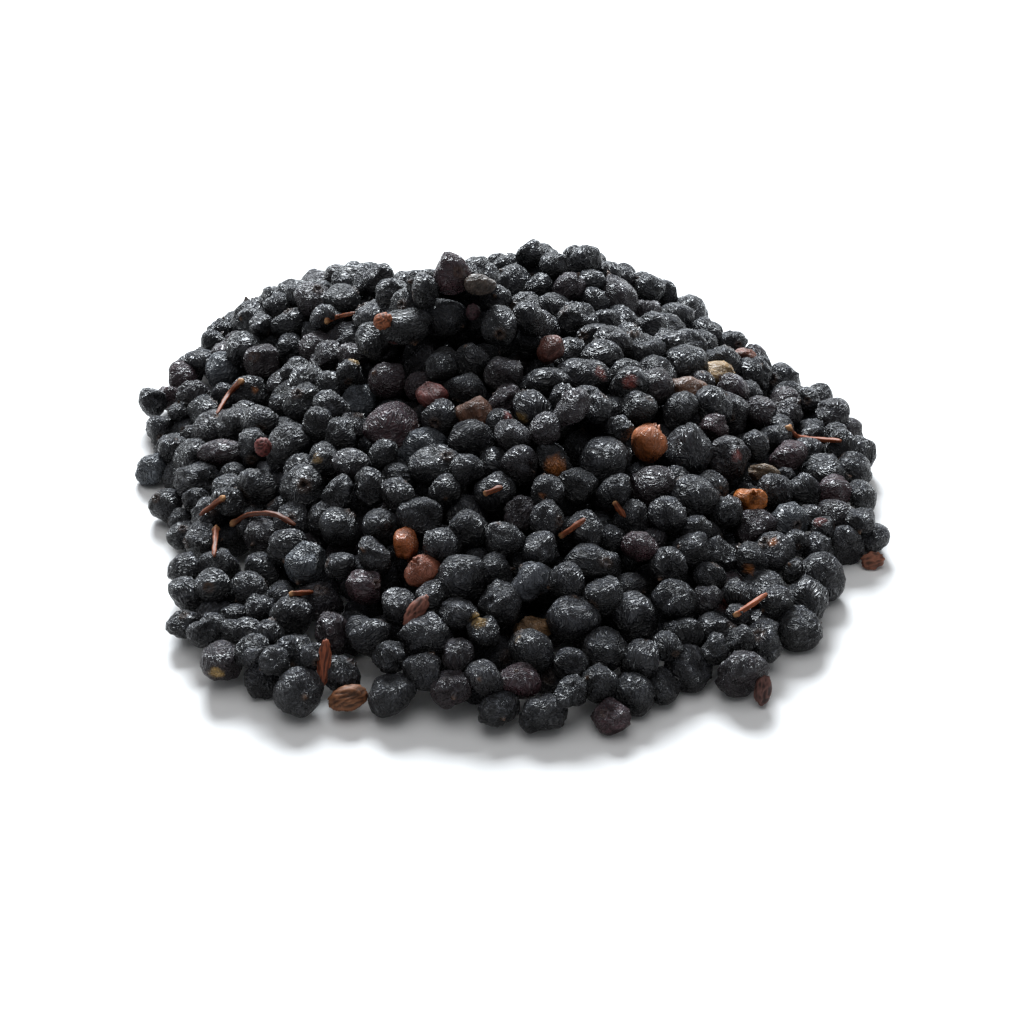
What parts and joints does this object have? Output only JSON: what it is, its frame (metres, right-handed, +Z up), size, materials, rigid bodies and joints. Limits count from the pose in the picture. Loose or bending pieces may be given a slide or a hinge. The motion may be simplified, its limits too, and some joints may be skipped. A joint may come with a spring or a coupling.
{
  "type": "dried elderberry heap",
  "caption": "Low heap of dried black elderberries with a few brown and tan berries, stalks and seeds among them; lies on its own flat foot.",
  "frame": {"origin": "middle of the heap's foot, on the surface that it lies on", "axes": "+Z up, +Y away from the viewer of the picture, +X to the viewer's right"},
  "size_m": [0.0836, 0.0882, 0.0242],
  "materials": {
    "dark_berry": "dried wrinkled skin, blue-black, half gloss with a dusty bloom on the crests",
    "brown_berry": "dried wrinkled skin, orange-brown, satin",
    "tan_berry": "dried wrinkled skin, tan, matte",
    "stalk": "dry reddish-brown stalk, matte",
    "seed": "dry flat seed, brown, matte",
    "bud": "dry unripe berry, dull red, satin",
    "husk": "dry curled skin, red-brown, matte"
  },
  "bodies": {
    "root": {"brown_berry_1": "brown_berry", "brown_berry_2": "brown_berry", "brown_berry_3": "brown_berry", "brown_berry_4": "brown_berry", "tan_berry_5": "tan_berry", "brown_berry_6": "brown_berry", "brown_berry_7": "brown_berry", "brown_berry_8": "brown_berry", "brown_berry_9": "brown_berry", "tan_berry_10": "tan_berry", "brown_berry_11": "brown_berry", "brown_berry_12": "brown_berry", "tan_berry_13": "tan_berry", "stalk_1": "stalk", "stalk_2": "stalk", "stalk_3": "stalk", "stalk_4": "stalk", "stalk_5": "stalk", "stalk_6": "stalk", "stalk_7": "stalk", "stalk_8": "stalk", "stalk_9": "stalk", "stalk_10": "stalk", "stalk_11": "stalk", "seed_1": "seed", "seed_2": "seed", "seed_3": "seed", "bud_1": "bud", "bud_2": "bud", "bud_3": "bud", "husk_1": "husk", "stub_1": "stalk", "berry_heap": "dark_berry"}
  },
  "joints": []
}
